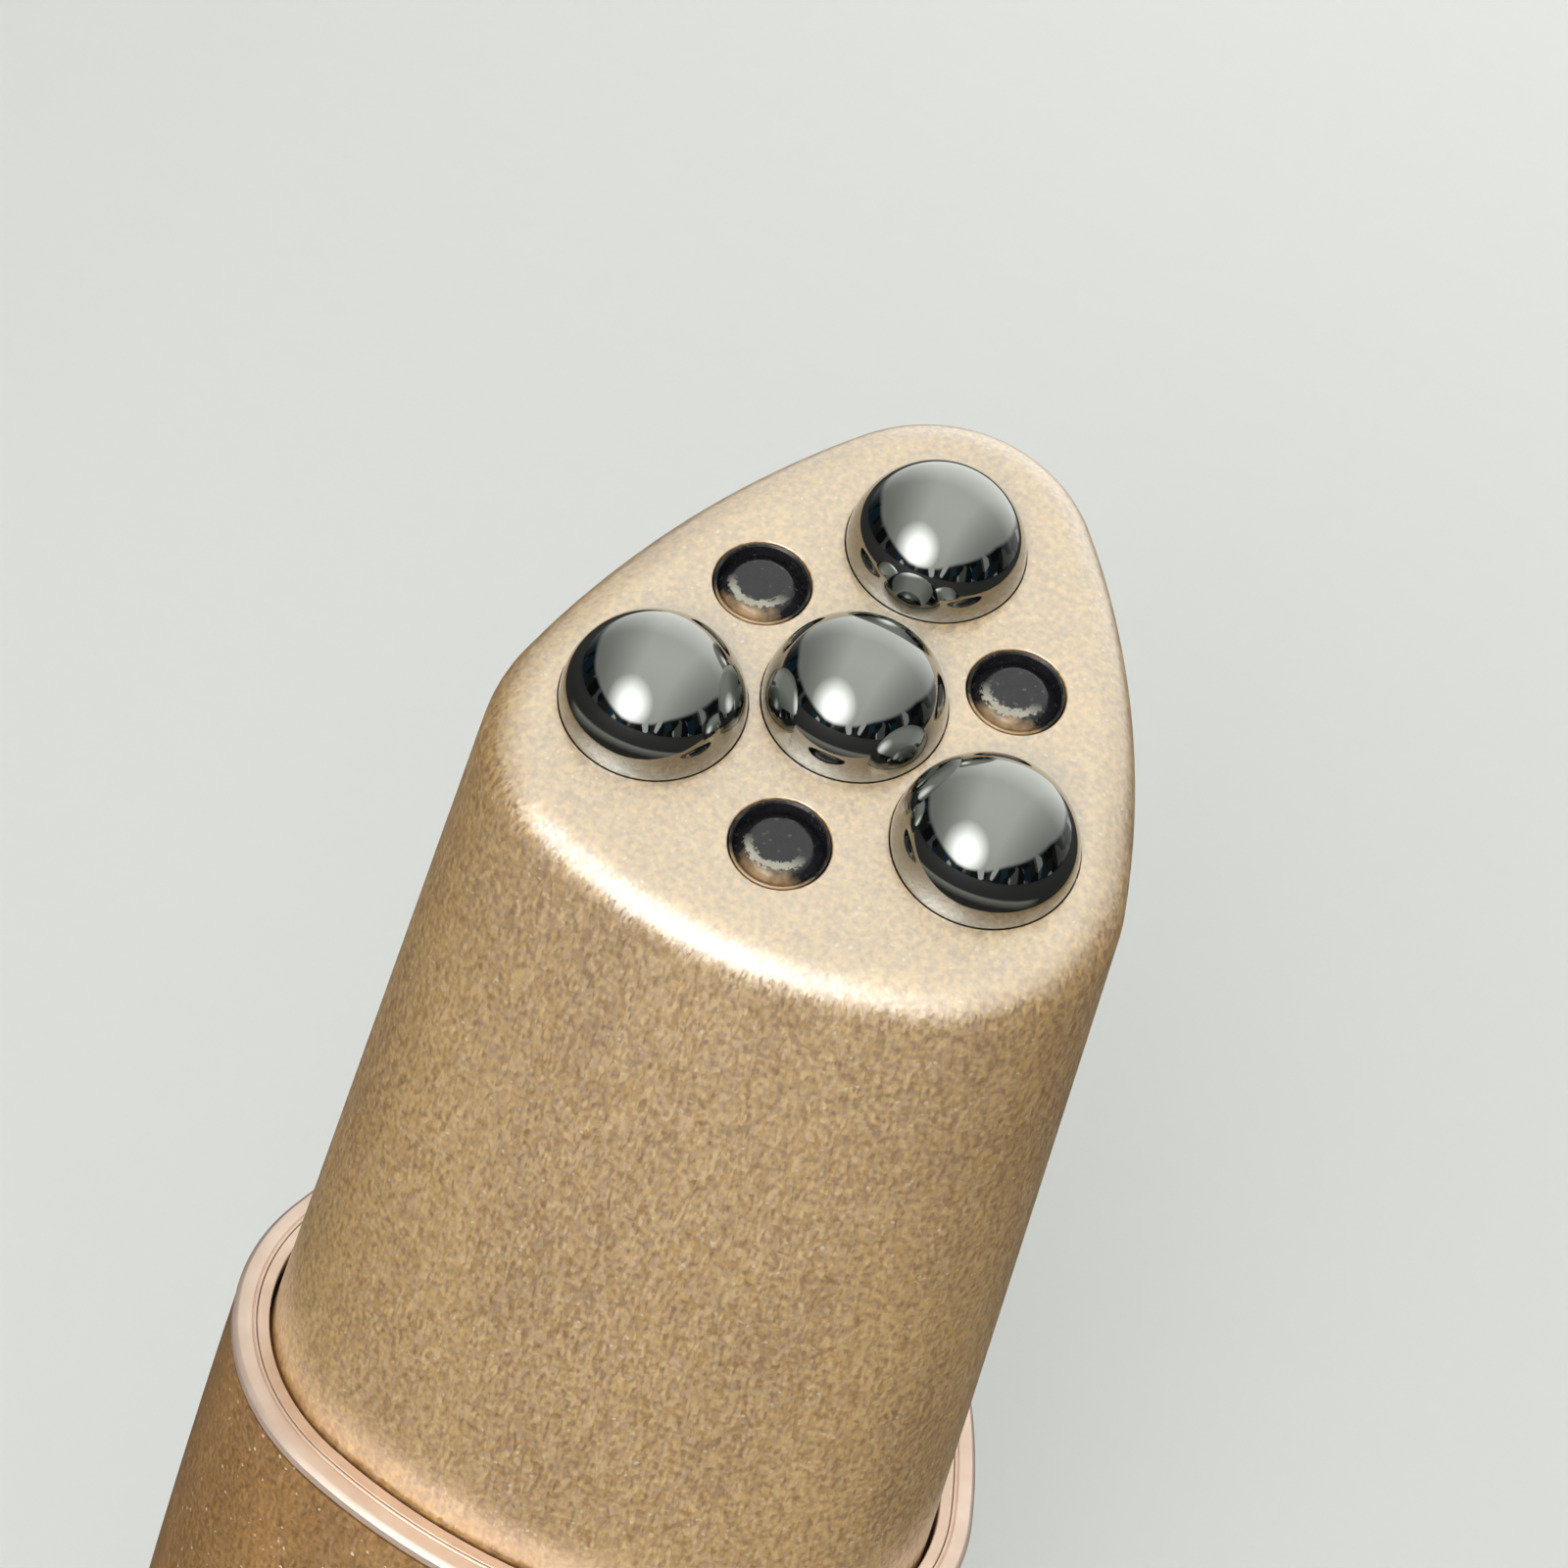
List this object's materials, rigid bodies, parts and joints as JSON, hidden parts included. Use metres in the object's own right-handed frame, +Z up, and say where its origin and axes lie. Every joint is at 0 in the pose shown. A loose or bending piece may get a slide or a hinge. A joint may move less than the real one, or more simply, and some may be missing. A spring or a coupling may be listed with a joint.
{
  "type": "eye beauty device",
  "caption": "Handheld eye beauty massager: slanted metallic head with polished steel domes and light windows on a rounded-triangle battery handle with a push button.",
  "frame": {"origin": "centre of the flat base that the device stands on", "axes": "+Z up along the handle to the head, -Y towards the front with the button and the low side of the slanted face, +X to the right seen from the front"},
  "size_m": [0.0314, 0.0331, 0.126],
  "materials": {
    "gold_painted_plastic": "champagne-gold metallic paint with fine flake, satin",
    "champagne_aluminium": "champagne-gold metallic paint with fine flake, satin",
    "rose_gold_aluminium": "rose-gold anodised, satin",
    "rose_plastic": "metallic-painted lip on moulded plastic",
    "polished_steel": "mirror polished",
    "plain_steel": "plain",
    "contact_brass": "plain",
    "smoked_plastic": "smoked, glossy",
    "clear_plastic": "clear, glossy",
    "black_plastic": "matte",
    "white_plastic": "matte",
    "black_rubber": "matte",
    "circuit_board": "solder mask, satin",
    "battery_wrap": "shrink-wrapped cell",
    "cable_film": "flat cable film, satin"
  },
  "bodies": {
    "housing": {"head_shell": "gold_painted_plastic", "electrode_dome_centre": "polished_steel", "electrode_dome_left": "polished_steel", "electrode_dome_right": "polished_steel", "electrode_dome_back": "polished_steel", "electrode_clip_centre": "plain_steel", "electrode_clip_left": "plain_steel", "electrode_clip_right": "plain_steel", "electrode_clip_back": "plain_steel", "contact_pin_centre": "contact_brass", "contact_pin_left": "contact_brass", "contact_pin_right": "contact_brass", "contact_pin_back": "contact_brass", "light_window_left": "smoked_plastic", "light_window_right": "smoked_plastic", "light_window_front": "smoked_plastic", "light_left": "clear_plastic", "light_right": "clear_plastic", "light_front": "clear_plastic", "board_screw_left": "plain_steel", "board_screw_right": "plain_steel", "head_board": "circuit_board", "neck_gasket": "black_rubber", "collar_ring": "rose_gold_aluminium", "sleeve": "champagne_aluminium", "chassis": "rose_plastic", "base_ring": "rose_gold_aluminium", "base_cap": "gold_painted_plastic", "base_screw_left": "plain_steel", "base_screw_right": "plain_steel", "head_screw_left": "plain_steel", "head_screw_right": "plain_steel", "battery": "battery_wrap", "main_board": "circuit_board", "charger_chip": "black_plastic", "driver_chip": "black_plastic", "controller_chip": "black_plastic", "usb_shell": "plain_steel", "usb_tongue": "black_plastic", "flex_strip": "cable_film", "indicator_guide": "clear_plastic", "button_bezel": "rose_gold_aluminium", "tact_switch": "black_plastic", "motor_can": "plain_steel", "motor_boot": "black_rubber"},
    "button": {"power_button": "gold_painted_plastic"},
    "plunger": {"switch_plunger": "white_plastic"},
    "rotor": {"motor_shaft": "plain_steel", "eccentric_weight": "contact_brass"}
  },
  "joints": [
    {"name": "button_press", "type": "slide", "parent": "housing", "child": "button", "axis": [0, 1, 0], "range_m": [0, 0.0005], "stiffness_N_per_m": 2000},
    {"name": "plunger_press", "type": "slide", "parent": "housing", "child": "plunger", "axis": [0, 1, 0], "range_m": [0, 0.0005]},
    {"name": "motor_spin", "type": "hinge", "parent": "housing", "child": "rotor", "pos_m": [0, 0.00016, 0.078], "axis": [0, 0, 1], "continuous": true}
  ],
  "couplings": [
    {"joint": "plunger_press", "follows": "button_press", "ratio": 1}
  ]
}
